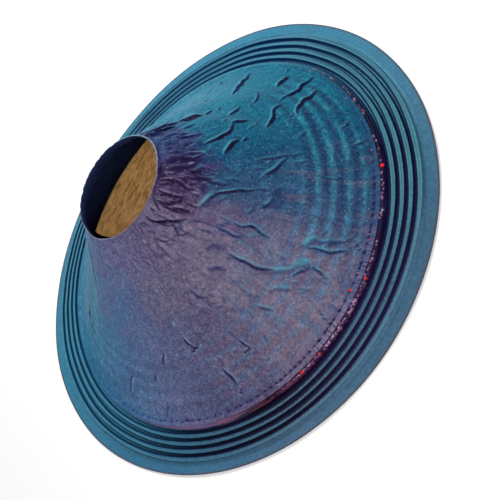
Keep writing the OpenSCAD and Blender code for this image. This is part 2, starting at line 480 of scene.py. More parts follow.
# Creases too small to place one by one, a few long folds on the far side, and the puckers of the throat
drying = np.random.default_rng(41)
for count, bearings, radii, lengths, heights, widths, depths in (
    (220, (0, 360), (62, 144), (3, 10), (0.1, 0.35), (0.8, 1.4), (0.1, 0.35)),
    (150, (150, 265), (60, 144), (3, 10), (0.15, 0.4), (0.8, 1.4), (0.15, 0.5)),
    (26, (-65, 85), (64, 138), (10, 26), (0.5, 1.2), (1.2, 2.0), (0.5, 1.0)),
    (130, (0, 360), (41, 57), (3, 10), (0.2, 0.5), (0.8, 1.5), (0.15, 0.5)),
    (50, (150, 255), (41, 58), (5, 15), (0.2, 0.5), (0.9, 1.5), (0.3, 0.8)),
):
    for _ in range(count):
        b, r = drying.uniform(*bearings), drying.uniform(*radii)
        reach, lean = drying.uniform(*lengths) / 2, drying.normal(0.25, 0.5)
        stride = np.array([math.degrees(reach * math.sin(lean) / r), reach * 0.75 * math.cos(lean)])
        wander = drying.normal(0, 0.15, (3, 1)) * np.array([math.degrees(reach / r), 0])
        points = np.array([b, r]) + np.array([-1, 0, 1])[:, None] * stride + wander
        points[:, 1] = points[:, 1].clip(neck_r + 0.3, bend_r - 0.5)
        height, width, depth = (drying.uniform(*limits) for limits in (heights, widths, depths))
        ease = np.interp(b, (-25, 0), (0.35, 1))
        lay_fold(points, ease * height, width, ease * depth)

# The sheet is also crushed finely, most of all in the throat and on the near side
turn_angle = np.radians(cone_bearing)


def crush(waves, turns, slants):
    """How far each point is from a crease of a crushed sheet: the size of a sum of cosines every which way.

    Each cosine turns a whole number of times round the axis, and repeats over a length of slant.
    """
    total = sum(
        np.cos(
            drying.integers(*turns) * turn_angle
            + drying.choice([-1, 1]) * 2 * np.pi / drying.uniform(*slants) * row_slant[:, None]
            + drying.uniform(0, 2 * np.pi)
        )
        for _ in range(waves)
    )
    return abs(total) / math.sqrt(waves / 2)


def about(bearing, middle, half):
    """1 about a middle bearing and 0 well away from it: a flat bell curve of the fourth power."""
    return bell(way_round(bearing, middle), half, 4)


def waver(angle, size, counts):
    """A random wave round the axis: a sum of cosines of random size and phase, one per count of turns."""
    return sum(drying.normal(0, size) * np.cos(k * angle + drying.uniform(0, 2 * np.pi)) for k in counts)


valley, crest = crush(14, (8, 32), (18, 80)), crush(14, (8, 34), (16, 70))
patchy = np.clip(crush(8, (3, 12), (30, 90)) - 0.25, 0, 1)
throat_share = (rise(row_r, 66, 57) * rise(row_r, neck_r, neck_r + 2))[:, None]
throat_crush = throat_share * (0.2 + 0.8 * about(cone_bearing, 205, 60))
wall_share = (rise(row_r, 58, 66) * rise(row_r, 138, 104))[:, None]
wall_crush = wall_share * (0.1 + 0.9 * about(cone_bearing, 182, 40))
pale_crush = wall_crush * about(cone_bearing, 168, 28)
fold_rise += throat_crush * (0.6 * (valley - 0.8) + 0.5 * (0.8 - crest))
fold_rise += wall_crush * (0.4 * (valley - 0.8) + 0.45 * (0.8 - crest))
# Painted shade along the valleys of the crush, and a painted highlight along its crests
fold_shade = np.maximum(fold_shade, patchy * (throat_crush + 0.5 * wall_crush) * bell(valley, 0.22))
fold_light = np.maximum(fold_light, patchy * (0.95 * throat_crush + 0.45 * pale_crush) * bell(crest, 0.22))
calm = about(cone_bearing, 236, 24) * rise(row_r, 52, 46)[:, None]
fold_shade *= 1 - 0.6 * calm
fold_light *= (1 - 0.4 * calm) * (1 - 0.3 * about(cone_bearing, 262, 34))

# Slow warp of the whole sheet, fine crimps pressed into the flange, and pricks along its bend
warp_share = rise(row_r, neck_r, neck_r + 10) * rise(row_r, bend_r, bend_r - 12)
fold_rise += waver(turn_angle + 0.02 * row_r[:, None], 0.22, range(3, 12)) * warp_share[:, None]


def prick_line(bearing):
    """Radius of the line of pricks: on the bend at the near side, and further out on the flange elsewhere."""
    return bend_r + 2.4 * (1 - about(bearing, 172, 64))


prick_count = 172
prick_bearing = np.cumsum(drying.uniform(1.2, 3.0, prick_count)) % 360
prick_r = prick_line(prick_bearing) + drying.normal(0, 0.2, prick_count)
prick_size = drying.uniform(0.6, 0.95, prick_count)
depth_bearing, depth_there = (58, 75, 100, 200, 225, 245, 290, 305), (0, 0.7, 1.1, 1.2, 1, 0.6, 0.4, 0)
prick_depth = np.interp(prick_bearing, depth_bearing, depth_there)
near_bend = np.flatnonzero(abs(row_r - bend_r) < 6)
# Each prick's dent is darkened with painted shade
for b, r, size, depth in zip(prick_bearing, prick_r, prick_size, prick_depth):
    apart = np.radians(way_round(cone_bearing, b)) * bend_r
    columns = np.flatnonzero(abs(apart) < 5)
    dent = depth * np.exp(-((apart[columns] / 2.1) ** 2 + (row_r[near_bend, None] - r) ** 2) / size**2)
    patch = np.ix_(near_bend, columns)
    fold_rise[patch] -= 0.3 * dent
    fold_shade[patch] = np.maximum(fold_shade[patch], dent)
crimp = np.cos(np.radians(140 * cone_bearing + 60 * np.sin(9 * turn_angle)))
crimp_share = (0.2 + 0.8 * about(cone_bearing, 182, 42)) * rise(row_r, bend_r, bend_r + 1.5)[:, None]
fold_rise += 0.14 * crimp * crimp_share
# A thin dark line joins the pricks, laid into the same painted shade mark
seam = bell(row_r[:, None] - prick_line(cone_bearing), 0.5)
fold_shade = np.maximum(fold_shade, 0.42 * about(cone_bearing, 165, 80) * seam)


def around(r, z, bearing):
    """Points at radius r and height z, turned to a bearing about the axis."""
    a = np.radians(bearing)
    return np.stack(np.broadcast_arrays(-r * np.sin(a), r * np.cos(a), z), -1)


def ring_piece(name, points, marks):
    """A closed section carried round the axis: points[i, j] is its point i at step j of the turn.

    Each point is joined to the next one of the section and the next one round, and both ways close on
    themselves. Marks are values from 0 to 1 that the material reads.
    """
    rows, steps = points.shape[:2]
    here = np.arange(rows * steps).reshape(rows, steps)
    along, round_ = np.roll(here, -1, 0), np.roll(here, -1, 1)
    faces = np.stack([here, along, np.roll(along, -1, 1), round_], -1).reshape(-1, 4)
    mesh = bpy.data.meshes.new(name)
    mesh.from_pydata((points.reshape(-1, 3) * MM).tolist(), [], faces.tolist())
    mesh.shade_smooth()
    for mark, values in marks.items():
        layer = mesh.attributes.new(mark, "FLOAT", "POINT")
        layer.data.foreach_set("value", np.broadcast_to(values, (rows, steps)).astype(np.float32).ravel())
    return add_object(name, mesh)


# The neck leans a little to one side and is out of round, and its edge is cut by hand, not quite level
near_neck = rise(row_r, 78, neck_r)[:, None]
neck_share = near_neck**2 * (3 - 2 * near_neck)
neck_push = 1.2 * np.sin(turn_angle) - 0.5
neck_push += 1.6 * about(cone_bearing, 112, 30) - 1.3 * about(cone_bearing, 200, 36)
near_edge = rise(row_r, 120, edge_r)[:, None]


def flange_reach(bearing):
    """How far the flange reaches past its true circle: most on the far side and the left."""
    return 1.2 * (1 - about(bearing, 190, 75))


def cone_face(rows, lifted):
    """Radius and height of rows of the sheet, lifted off the plain cone, with its neck and flange pushed."""
    pushed = neck_share[rows] * neck_push + near_edge[rows] * flange_reach(cone_bearing)
    face_r = row_r[rows, None] + lifted * row_out[rows, :1] + pushed
    return face_r, row_z[rows, None] + lifted * row_out[rows, 1:]


rear_r, rear_z = cone_face(np.arange(len(row_r)), fold_rise)
nibble = waver(turn_angle, 0.06, range(4, 50, 2))
rear_z[:2] += np.minimum(nibble, 0.1)
# The front face has fewer rows. Each takes the lowest rise between its neighbours, so that the sheet never
# cuts itself
front_rows = np.array([0, 1, 3, 16, 29, 42, 55, 69, 83, 90, 97, 104, 111, 115, len(row_r) - 1])
low_rise = np.minimum.reduceat(fold_rise, front_rows[:-1])
front_rise = np.minimum(np.concatenate([low_rise[:1], low_rise]), np.concatenate([low_rise, low_rise[-1:]]))
front_r, front_z = cone_face(front_rows, front_rise - paper_t)
front_r[-1], front_z[-1] = rear_r[-1], rear_z[-1] - paper_t
front_r, front_z = front_r[::-1], front_z[::-1]
cone_r, cone_z = np.concatenate([rear_r, front_r]), np.concatenate([rear_z, front_z])
no_front = np.zeros((len(front_rows), cone_steps))
cut_edge = np.zeros((len(cone_r), 1))
cut_edge[[0, -1]] = 1
near_ribs = (row_r > rib_start_r - 2) & (row_r < rib_end_r + 2)
rib_tilt = np.where(near_ribs, np.sin(2 * np.pi * (row_r - rib_start_r) / rib_pitch), 0)
rib_tilt = 0.5 + 0.5 * np.concatenate([rib_tilt, 0 * front_rows])
paper_cone = ring_piece("crumpled_cone", around(cone_r, cone_z, cone_bearing), {
    "fold_shade": np.concatenate([fold_shade, no_front]),
    "fold_light": np.concatenate([fold_light, no_front]),
    "rib_tilt": rib_tilt[:, None],
    "cut_edge": cut_edge,
})
on_front = np.zeros((len(cone_r), cone_steps), np.int32)
on_front[len(row_r) - 1 : -1] = 1
paper_cone.data.polygons.foreach_set("material_index", on_front.ravel())


def new_group(name, **inputs):
    """A shader node group that has only its number inputs, given with their values."""
    group = bpy.data.node_groups.new(name, "ShaderNodeTree")
    for label, value in inputs.items():
        socket = group.interface.new_socket(label, in_out="INPUT", socket_type="NodeSocketFloat")
        socket.default_value = value
    return group, group.nodes.new("NodeGroupInput").outputs


def end_group(group, **outputs):
    """Gives a shader node group its outputs."""
    for label, value in outputs.items():
        kind = "NodeSocketVector" if value.type == "VECTOR" else "NodeSocketFloat"
        group.interface.new_socket(label, in_out="OUTPUT", socket_type=kind)
    ends = group.nodes.new("NodeGroupOutput").inputs
    for label, value in outputs.items():
        group.links.new(value, ends[label])


# Shared by the materials: where a point lies about the axis, and the drift of a dye, with fine pale flecks
# that are partly painted glints.
# A noise that is read at the streaks is drawn out down the slope: they are the turn as a point on a small
# circle, and a small share of the radius
group, _ = new_group("compass")
spot = put(group, "SeparateXYZ", {0: put(group, "TexCoord").outputs["Object"]}).outputs
angle = calc("ARCTAN2", spot["Y"], spot["X"])
turn = calc("FRACT", scaled(angle, 1 / (2 * math.pi), 0.75))
away = calc("SQRT", calc("ADD", calc("POWER", spot["X"], 2.0), calc("POWER", spot["Y"], 2.0)))
streaks = put(group, "CombineXYZ", {
    0: times(calc("COSINE", angle), 0.1),
    1: times(calc("SINE", angle), 0.1),
    2: times(away, 0.15),
}).outputs[0]
end_group(group, turn=turn, bearing=times(turn, 360.0), radius=times(away, 1 / MM), streaks=streaks)

group, given = new_group("mottle", cloud=0.2, grain=0.2, specks=0.5)
spot = put(group, "TexCoord").outputs["Object"]
cloud = calc("SUBTRACT", noise(spot, 34.0, 4.0), 0.5)
grain = calc("SUBTRACT", noise(spot, 520.0, 4.0, 0.8), 0.5)
tone = scaled(cloud, given["cloud"], scaled(grain, given["grain"], 1.0))
cells = put(group, "TexVoronoi", {"Vector": spot, "Scale": 520.0}).outputs
pick = put(group, "SeparateColor", {0: cells["Color"]}).outputs[0]
chosen = put(group, "MapRange", {0: pick, 1: 0.8, 2: 1.0}).outputs[0]
near = put(group, "MapRange", {0: cells["Distance"], 1: 0.3, 2: 0.12}).outputs[0]
wrinkle = times(noise(spot, 130.0, 4.0, 0.6), 3.0)
height = scaled(noise(spot, 900.0, 2.0, 0.6), 0.7, wrinkle)
end_group(group, tone=tone, specks=times(chosen, near, given["specks"]), height=height)


def place_group(tree, name, **values):
    """A node group placed in a material, with its own values."""
    made = tree.nodes.new("ShaderNodeGroup")
    made.node_tree = bpy.data.node_groups[name]
    for label, value in values.items():
        made.inputs[label].default_value = value
    return made.outputs


def mark(tree, name):
    """The values of one of the mesh's marks."""
    return put(tree, "Attribute", attribute_name=name).outputs["Fac"]


def window(value, start, full, stop, end):
    """A mask that rises smoothly from start to full, and falls again from stop to end."""
    return times(slope(value, start, full), slope(value, end, stop))


def mix(share, a, b):
    """The colour that lies a share of the way from one colour to another."""
    return put(share.id_data, "Mix", {0: share, 6: a, 7: b}, data_type="RGBA").outputs[2]


def stain(under, *stains):
    """Stains laid over a colour in turn: each is a colour, and then masks whose product is its strength."""
    for colour, *masks in stains:
        under = mix(times(*masks), under, dye(*colour))
    return under


def toned(colour, tone):
    """A colour with its three parts multiplied by a tone."""
    tree = tone.id_data
    grey = put(tree, "CombineColor", {0: tone, 1: tone, 2: tone}).outputs[0]
    feeds = {0: 1.0, 6: colour, 7: grey}
    return put(tree, "Mix", feeds, data_type="RGBA", blend_type="MULTIPLY").outputs[2]


def round_colour(turn, *stops):
    """A colour that changes round the axis, by (bearing, red, green, blue) stops, closed on the first."""
    listed = [(b / 360, dye(*colour)) for b, *colour in stops]
    return ramp(turn, [*listed, (1.0, listed[0][1])])


def coat(tree, colour, rough, shine, relief, strength, depth):
    """Ends a material: a skin of a colour over relief, which looks as deep as depth, in metres."""
    bump = put(tree, "Bump", {"Height": relief, "Strength": strength, "Distance": depth})
    skin = put(tree, "BsdfPrincipled", {
        "Base Color": colour,
        "Roughness": rough,
        "Specular IOR Level": shine,
        "Normal": bump.outputs[0],
    })
    put(tree, "OutputMaterial", {"Surface": skin.outputs[0]})


dyed_paper = new_material("dyed_paper")
tree = dyed_paper.node_tree
spot = put(tree, "TexCoord").outputs["Object"]
compass = place_group(tree, "compass")
turn, bearing, radius, streaks = (compass[name] for name in ("turn", "bearing", "radius", "streaks"))
mottle = place_group(tree, "mottle", cloud=0.6, grain=2.5, specks=0.6)
patches = noise(spot, 75.0, 5.0, 0.65)
drift = noise(spot, 48.0, 4.0, 0.6)
blotch = noise(spot, 210.0, 4.0, 0.7)
tint = noise(spot, 150.0, 5.0, 0.7)
torn = noise(spot, 380.0, 4.0, 0.75)
streak = noise(streaks, 420.0, 4.0, 0.65)
broad_streak = noise(streaks, 190.0, 5.0, 0.7)
# The colour round the axis is mostly painted light over a dark dye: teal on the sides that a cool light
# reached, plum-grey on the near side, where a whiter light fell
wall_dye_and_light = round_colour(
    turn, (0, 62, 122, 150), (60, 50, 113, 145), (74, 55, 113, 149), (86, 66, 110, 151), (100, 78, 106, 147),
    (115, 92, 101, 140), (145, 93, 86, 117), (167, 112, 104, 129), (185, 92, 89, 120), (194, 70, 80, 114),
    (202, 48, 75, 110), (225, 20, 76, 109), (250, 14, 95, 122), (275, 28, 110, 136), (305, 54, 124, 150),
)
throat_dye_and_light = round_colour(
    turn, (0, 76, 114, 146), (62, 74, 114, 150), (78, 79, 101, 144), (110, 104, 101, 143), (145, 97, 90, 122),
    (170, 111, 102, 134), (186, 88, 72, 110), (202, 66, 50, 94), (222, 53, 49, 101), (250, 50, 66, 110),
    (285, 44, 62, 104), (320, 46, 76, 114),
)
ragged = scaled(calc("SUBTRACT", patches, 0.5), 40.0, radius)
in_throat = slope(ragged, throat_r + 10, throat_r - 8)
near_side = window(bearing, 130, 165, 205, 235)
warm_side = window(bearing, 125, 160, 178, 200)
outward = slope(radius, 80, 110)
left_side = times(window(bearing, 15, 38, 68, 92), window(radius, 52, 66, 132, 148))
wedge_end = times(window(bearing, 66, 74, 96, 112), window(radius, 48, 58, 92, 110))
flecked = scaled(near_side, 0.1, 0.08)
dark_patch = slope(noise(spot, 95.0, 4.0, 0.6), 0.44, 0.56)
rib_slope = scaled(mark(tree, "rib_tilt"), 2.0, -1.0)
faint_slope = times(rib_slope, window(bearing, 110, 158, 185, 208), slope(patches, 0.25, 0.5))
ribbed_side = scaled(window(bearing, 175, 215, 240, 275), 0.9, 0.1)
rib_slope = times(rib_slope, ribbed_side, slope(radius, rib_start_r - 6, rib_start_r + 14))
lit_rib = times(rib_slope, slope(drift, 0.36, 0.56), scaled(blotch, 2.4, -0.2))
shaded_rib = times(rib_slope, slope(patches, 0.3, 0.6), scaled(blotch, 2.0, 0.1))
paper_colour = stain(
    mix(in_throat, wall_dye_and_light, throat_dye_and_light),
    ((58, 114, 148), 0.34, slope(patches, 0.53, 0.63), near_side, outward),
    ((142, 124, 136), 0.55, slope(drift, 0.42, 0.6), warm_side, slope(blotch, 0.4, 0.62)),
    # On the left the teal is streaked down the slope, with purple where it ends and a brown haze beside that
    ((112, 146, 158), 0.5, slope(broad_streak, 0.52, 0.66), left_side),
    ((30, 100, 138), 0.45, slope(broad_streak, 0.48, 0.34), left_side),
    ((96, 84, 130), 0.45, slope(drift, 0.5, 0.58), wedge_end),
    ((112, 102, 118), 0.35, window(bearing, 112, 122, 132, 145), window(radius, 58, 68, 82, 98)),
    # The near side is mauve below the throat, then streaked with teal and with brown
    ((102, 84, 116), 0.5, window(bearing, 172, 181, 190, 199), window(radius, 50, 60, 76, 94)),
    ((66, 102, 142), 0.4, slope(broad_streak, 0.5, 0.62), near_side, outward),
    ((130, 112, 126), 0.3, slope(broad_streak, 0.5, 0.38), near_side, outward),
    ((66, 70, 108), 0.25, window(bearing, 112, 128, 145, 160), outward),
    # Flecks of teal and of purple lie all over, and the throat is nearly black in patches on the near side
    ((44, 126, 152), slope(tint, 0.53, 0.7), flecked),
    ((92, 66, 112), slope(tint, 0.47, 0.3), flecked),
    ((36, 16, 50), 0.8, window(bearing, 172, 192, 232, 250), in_throat, dark_patch),
    # The ribs get a painted highlight on the slope that faces one way and painted shade on the other
    ((66, 108, 150), 0.3, faint_slope),
    ((132, 108, 126), -0.26, faint_slope),
    ((58, 148, 168), 0.45, lit_rib),
    ((34, 48, 86), -0.8, shaded_rib),
)
# The grain changes the gamma of the dye, which moves all three parts of a colour alike
blotched = times(calc("SUBTRACT", blotch, 0.5), scaled(near_side, -0.6, 1.1))
fine = calc("SUBTRACT", noise(spot, 820.0, 2.0, 0.6), 0.5)
fine = times(fine, scaled(near_side, -1.0, 1.6))
uneven = calc("ADD", calc("ADD", mottle["tone"], -1.0), calc("ADD", blotched, fine))
gamma = scaled(uneven, -0.5, 1.0)
paper_colour = put(tree, "Gamma", {"Color": paper_colour, "Gamma": gamma}).outputs[0]
paper_colour = toned(paper_colour, scaled(streak, 0.4, 0.8))
# Pale and dark radial lines on the near side of the flange: painted highlight and painted shade of the crimps
crimped = times(slope(radius, bend_r + 0.6, bend_r + 1.6), window(bearing, 150, 172, 190, 206))
feeds = {"W": times(turn, 620.0), "Scale": 1.0, "Detail": 2.0}
crimps = put(tree, "TexNoise", feeds, noise_dimensions="1D").outputs["Fac"]
paper_colour = stain(
    paper_colour,
    ((146, 144, 168), 0.3, slope(crimps, 0.5, 0.36), crimped),
    ((44, 38, 74), 0.7, slope(crimps, 0.55, 0.66), crimped),
)
# The crests of the folds get a painted highlight, and their steep sides painted shade, nearly black where it
# is deepest
highlight_wall = round_colour(
    turn, (0, 104, 178, 200), (100, 120, 160, 188), (147, 118, 150, 180), (154, 140, 142, 164),
    (161, 96, 150, 176), (181, 76, 166, 186), (240, 88, 182, 200),
)
highlight_throat = round_colour(
    turn, (0, 110, 170, 196), (100, 126, 140, 176), (140, 146, 134, 158), (205, 140, 124, 154),
    (238, 96, 136, 164), (280, 96, 160, 186),
)
mauve_light = times(slope(radius, 92, 80), slope(bearing, 188, 184))
highlight_colour = mix(calc("MAXIMUM", in_throat, mauve_light), highlight_wall, highlight_throat)
ragged_highlight = scaled(torn, 2.8, -0.4, clamp=True)
highlight_share = calc("MULTIPLY", mark(tree, "fold_light"), ragged_highlight, clamp=True)
paper_colour = mix(times(highlight_share, 0.95), paper_colour, highlight_colour)
shade_wall = round_colour(
    turn, (0, 34, 84, 116), (120, 62, 66, 112), (160, 64, 58, 100), (173, 58, 56, 100), (182, 42, 62, 106),
    (205, 36, 42, 84), (250, 16, 58, 92),
)
shade_throat = round_colour(
    turn, (0, 34, 74, 110), (120, 66, 62, 104), (165, 62, 52, 88), (188, 52, 36, 72), (215, 40, 28, 74),
    (250, 26, 36, 84),
)
crease_shade = round_colour(
    turn, (0, 10, 20, 56), (130, 26, 18, 46), (190, 28, 16, 48), (222, 30, 14, 48), (245, 16, 12, 48),
    (275, 6, 14, 54),
)
# The painted shade in the creases is reddish on part of the near side
red_shade_side = window(bearing, 170, 190, 235, 265)
crease_shade = stain(crease_shade, ((92, 38, 62), 0.16, slope(tint, 0.5, 0.62), red_shade_side))
# depth is the strength of the painted shade, broken up by noise
depth = times(mark(tree, "fold_shade"), scaled(torn, 1.8, 0.1))
paper_colour = mix(times(depth, 1.7), paper_colour, mix(in_throat, shade_wall, shade_throat))
paper_colour = mix(scaled(depth, 2.3, -1.1), paper_colour, crease_shade)
smear = times(slope(radius, bend_r + 2.0, bend_r + 3.6), window(bearing, 104, 124, 152, 168))
lines = put(tree, "CombineXYZ", {0: times(turn, 130.0), 1: times(radius, 0.9)}).outputs[0]
smear_line = noise(lines, 1.0, 3.0, 0.6)
paper_colour = stain(
    paper_colour,
    # Pale flecks, partly painted glints
    ((176, 172, 204), mottle["specks"]),
    # The flange is darker on two sides. Its edge is black on the near side, and on the far side it has a
    # painted highlight
    ((26, 84, 122), 0.4, window(bearing, 45, 70, 100, 122), slope(radius, bend_r - 1, bend_r + 1)),
    ((28, 60, 98), 0.25, window(bearing, 170, 186, 250, 265), slope(radius, bend_r, bend_r + 1)),
    ((14, 8, 26), 0.9, window(bearing, 118, 145, 245, 265), slope(radius, edge_r - 1.2, edge_r - 0.5)),
    ((112, 178, 196), 0.6, window(bearing, 255, 275, 330, 350), slope(radius, edge_r - 0.6, edge_r + 0.3)),
    ((128, 86, 106), 0.6, smear, slope(smear_line, 0.46, 0.6)),
    ((46, 24, 54), 0.7, smear, slope(smear_line, 0.46, 0.34)),
)
# The cut edge of the neck is pale paper; its change round the axis, dark on the far side, is painted
# highlight
rim_dye_and_light = round_colour(
    turn,
    (0, 60, 72, 100), (50, 62, 76, 108), (80, 112, 128, 158), (115, 108, 112, 142), (138, 118, 102, 110),
    (165, 122, 104, 108), (190, 116, 108, 134), (235, 126, 136, 164), (275, 120, 154, 174),
    (310, 96, 140, 160), (335, 70, 88, 112),
)
paper_colour = mix(mark(tree, "cut_edge"), paper_colour, toned(rim_dye_and_light, times(blotch, 1.8)))
coat(tree, paper_colour, times(mottle["tone"], 0.5), 0.035, mottle["height"], strength=0.8, depth=0.0008)

# The front was not coated: it is matt, and bluer and paler away from the neck. Its darkness towards the neck
# is painted shade
bare_paper = new_material("bare_paper")
tree = bare_paper.node_tree
compass = place_group(tree, "compass")
mottle = place_group(tree, "mottle", cloud=0.5, grain=1.2, specks=0.1)
front_colour = ramp(times(compass["radius"], 1 / edge_r), [
    (neck_r / edge_r, dye(44, 54, 92)),
    (0.42, dye(78, 92, 148)),
    (0.66, dye(96, 114, 178)),
    (1.0, dye(84, 100, 150)),
])
streak = noise(compass["streaks"], 420.0, 4.0, 0.65)
front_colour = toned(toned(front_colour, mottle["tone"]), scaled(streak, 0.5, 0.75))
coat(tree, front_colour, times(mottle["tone"], 0.85), 0.0, mottle["height"], strength=0.6, depth=0.0008)
paper_cone.data.materials.append(dyed_paper)
paper_cone.data.materials.append(bare_paper)
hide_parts("paper_cone")
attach(paper_cone, "cone")


# Cloth surround: woven cloth dipped in dope and pressed into a flat lip, four standing pleats and a land.
# Its lip is glued to a frame, and the pleats let the cone on the land move up and down.
_, cloth_high = (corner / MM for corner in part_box("cloth_surround"))
cloth_t = 0.8
lip_w, pleat_r, pleat_count = 8.7, 1.5, 4
first_rise, pleat_climb, land_bend_r, land_w = 1.0, 0.4, 0.9, 8.0
lip_r = cloth_high.x
lip_in_r = lip_r - lip_w
foot_z = cloth_t / 2 + pleat_r
land_r = lip_in_r - (4 * pleat_count + 1) * pleat_r - land_bend_r
cloth_steps = 480


def cloth_turn(r, z, bend, start, end, side, count):
    """Points around a bend: radius, height, unit normal of the rear side (out, up), the side and the angle.

    The points lie on an arc about (r, z), and the side is 1 for a ridge and -1 for a groove.
    """
    a = np.radians(stretch(start, end, count))
    out, up = np.cos(a), np.sin(a)
    return np.stack([r + bend * out, z + bend * up, side * out, side * up, 0 * a + side, a], 1)


def cloth_flat(r, z):
    """Points along a flat stretch, with the normal of the rear side straight up, and no side."""
    return np.stack([r, 0 * r + z, 0 * r, 0 * r + 1, 0 * r, 0 * r], 1)


ridge_z = foot_z + first_rise + pleat_climb * np.arange(pleat_count)
ridge_r = lip_in_r - 2 * pleat_r - 4 * pleat_r * np.arange(pleat_count)
land_z = ridge_z[-1] + land_bend_r
cloth_line = np.concatenate([
    cloth_flat(stretch(lip_r, lip_in_r, 5), cloth_t / 2),
    cloth_turn(lip_in_r, foot_z, pleat_r, -90, -180, -1, 5),
    *[part for r, z in zip(ridge_r, ridge_z) for part in (
        cloth_turn(r, z, pleat_r, 0, 180, 1, 10),
        cloth_turn(r - 2 * pleat_r, z, pleat_r, 0, -180, -1, 10),
    )],
    cloth_turn(land_r, ridge_z[-1], land_bend_r, 0, 90, 1, 4),
    cloth_flat(np.linspace(land_r, land_r - land_w, 4), land_z),
])[::-1]
cloth_bearing = stretch(0, 360, cloth_steps)
line_r, line_z, line_out, line_up, line_side, line_turn = cloth_line.T
rear_half = np.stack([line_r + line_out * cloth_t / 2, line_z + line_up * cloth_t / 2], 1)
front_half = np.stack([line_r - line_out * cloth_t / 2, line_z - line_up * cloth_t / 2], 1)[::-1]
cloth_section = np.concatenate([rear_half, front_half])

# The free lip is a little out of round and lifts here and there; the land is held round by the cone
way_out = rise(cloth_section[:, :1], land_r, lip_r)
give, middle = way_out**2.2, way_out * (1 - way_out)
a = np.radians(cloth_bearing)
out_of_round = -1.2 * np.sin(a) - 1.2 * np.cos(2 * a) + 1.0 * np.sin(2 * a) - 1.4 * np.cos(3 * a)
lift = 0.25 * (1 + np.cos(5 * a + 1.0)) + 0.15 * (1 + np.cos(11 * a + 2.0))
ripple = waver(a + 0.4 * lip_r, 0.05, range(9, 40))
squeezed = -1.0 * about(cloth_bearing, 118, 28) - 1.1 * about(cloth_bearing, 328, 30)
surround_r = cloth_section[:, :1] + give * out_of_round + middle * (4 * squeezed + 1.2 * ripple)
surround_z = cloth_section[:, 1:] + give * lift + middle * 1.5 * ripple
# The cloth is painted dark as shade wherever it is not lit: in its grooves and on the side of each ridge
# turned from the light. The lip keeps the cloth's colour, and so does each ridge from one angle of its bend
# to another, an amount that follows the light round the axis, with soft ends and a painted highlight line at
# each.
# On two sides the groove bottoms are painted as lit too
light_bearing = (0, 15, 60, 90, 120, 150, 180, 200, 220, 240, 260, 280, 300, 330)
lit_from, lit_fade, lit_to, lit_away, lit_groove, lit_land, outer_line, inner_line = (
    np.interp(cloth_bearing, light_bearing, values, period=360)[None]
    for values in (
        (1.2, 0.85, 0.9, 1.5, 0.35, 0.4, 0.3, 0.55, 0.75, 1.0, 0.3, 1.5, 2.0, 2.2),
        (0.5, 0.5, 0.5, 0.4, 0.3, 0.3, 0.3, 0.3, 0.3, 0.3, 0.3, 0.4, 0.4, 0.4),
        (2.5, 1.9, 2.2, 2.0, 1.1, 0.7, 0.8, 1.4, 2.3, 1.9, 2.3, 2.15, 2.7, 2.6),
        (0.4, 0.5, 0.5, 0.4, 1.6, 0.7, 1.2, 0.7, 0.35, 0.4, 0.4, 0.35, 0.3, 0.3),
        (0.2, 0.3, 0.45, 1.0, 0.1, 0, 0, 0, 0, 0.9, 0.3, 0.1, 0.1, 0.1),
        (0.5, 0.5, 0.5, 0.7, 0.3, 0, 0, 0, 0, 0, 0.6, 0.4, 0.3, 0.3),
        (0.3, 0.3, 0.3, 0.3, 1, 1, 1, 1, 1, 0.3, 0.9, 0.2, 0, 0),
        (0.7, 0.5, 0.4, 0.3, 0, 0, 0, 0.3, 0.9, 0.3, 0.9, 0.6, 0.8, 0.8),
    )
)
at = line_turn[:, None]
on_ridge = rise(at, lit_from - lit_fade, lit_from) * rise(at, lit_to + lit_away, lit_to)
highlight_line = np.maximum(outer_line * bell(at - lit_from, 0.35), inner_line * bell(at - lit_to, 0.35))
in_groove = lit_groove * bell(at + np.pi / 2, 0.6)
is_ridge, is_groove = line_side[:, None] > 0, line_side[:, None] < 0
on_land = (line_r < land_r + 1)[:, None]
on_lip = rise(line_r, lip_in_r - 0.8, lip_in_r)[:, None]
# The cloth's own colour reaches down the first pleat's outer flank by an amount that changes round the axis:
# painted light
by_lip = np.minimum(rise(line_r, lip_in_r - 3.2, lip_in_r - 2.7), 0.85)[:, None]
foot_lit_bearing, foot_lit_share = (0, 60, 110, 150, 225, 255, 285, 310, 345), (0.2, 0.3, 0.7, 1, 1, 0.5, 0.4, 1, 0.6)
on_lip = np.maximum(on_lip, by_lip * np.interp(cloth_bearing, foot_lit_bearing, foot_lit_share, period=360))
rear_lit_cloth = np.where(is_ridge, on_ridge, np.where(is_groove, in_groove, lit_land))
rear_lit_cloth = np.where(on_land, lit_land, np.maximum(rear_lit_cloth, on_lip))
rear_highlight = np.where(is_ridge & ~on_land, highlight_line * on_ridge, 0.6 * in_groove * is_groove)
cloth_cut = np.zeros(len(cloth_section))
cloth_cut[[len(rear_half) - 1, len(rear_half)]] = 1
surround = ring_piece("pleated_surround", around(surround_r, surround_z, cloth_bearing), {
    "rubbed": np.concatenate([rear_lit_cloth, 0 * rear_lit_cloth]),
    "bright": np.concatenate([rear_highlight, 0 * rear_highlight]),
    "cloth_cut": cloth_cut[:, None],
})

# Two crossed sine waves that repeat every thread, with the warp spaced for one radius
weave_r = 168
group, given = new_group("weave", thread=0.8)
compass = place_group(group, "compass")
pitch = times(given["thread"], 0.159)
warp_thread = calc("SINE", calc("DIVIDE", times(compass["turn"], 2 * math.pi * weave_r), pitch))
weft_thread = calc("SINE", calc("DIVIDE", compass["radius"], pitch))
end_group(group, height=scaled(warp_thread, weft_thread, 1.0))

doped_cloth = new_material("doped_cloth")
tree = doped_cloth.node_tree
compass = place_group(tree, "compass")
turn, bearing, radius = (compass[name] for name in ("turn", "bearing", "radius"))
mottle = place_group(tree, "mottle", cloud=0.25, grain=1.6, specks=0.1)
weave = place_group(tree, "weave", thread=0.8)
